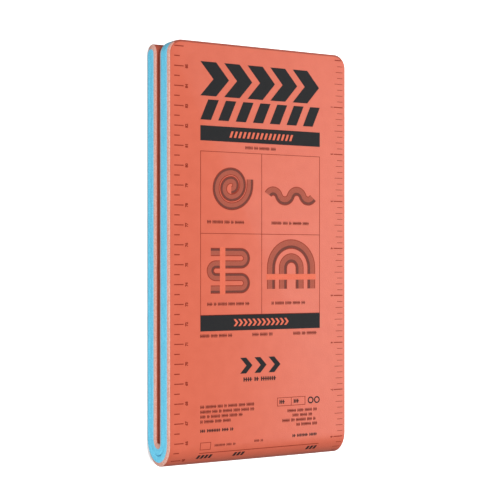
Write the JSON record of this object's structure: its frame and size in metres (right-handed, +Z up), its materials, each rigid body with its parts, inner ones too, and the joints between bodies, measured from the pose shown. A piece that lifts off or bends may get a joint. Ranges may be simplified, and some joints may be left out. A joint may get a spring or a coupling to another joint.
{
  "type": "aluminium foam splint",
  "caption": "Flat foam splint strip, orange on the printed side and blue on the other, folded over on itself twice into a long flat pack with rounded bends and free ends.",
  "frame": {"origin": "middle of the face that the pack rests on, below the centre of its box", "axes": "+Y along the folded panels towards the free ends, +Z up out of the printed front panel, X across the strip"},
  "size_m": [0.108, 0.216, 0.026],
  "materials": {
    "orange_foam": "matt closed-cell foam, orange, slightly paler on the cut rims",
    "blue_foam": "matt closed-cell foam, light blue",
    "ink": "flat dark printing ink on the orange foam",
    "ruler_ink": "thin dark red-brown printing ink on the orange foam"
  },
  "bodies": {
    "root": {"orange_foam": "orange_foam", "blue_foam": "blue_foam"}
  },
  "joints": []
}
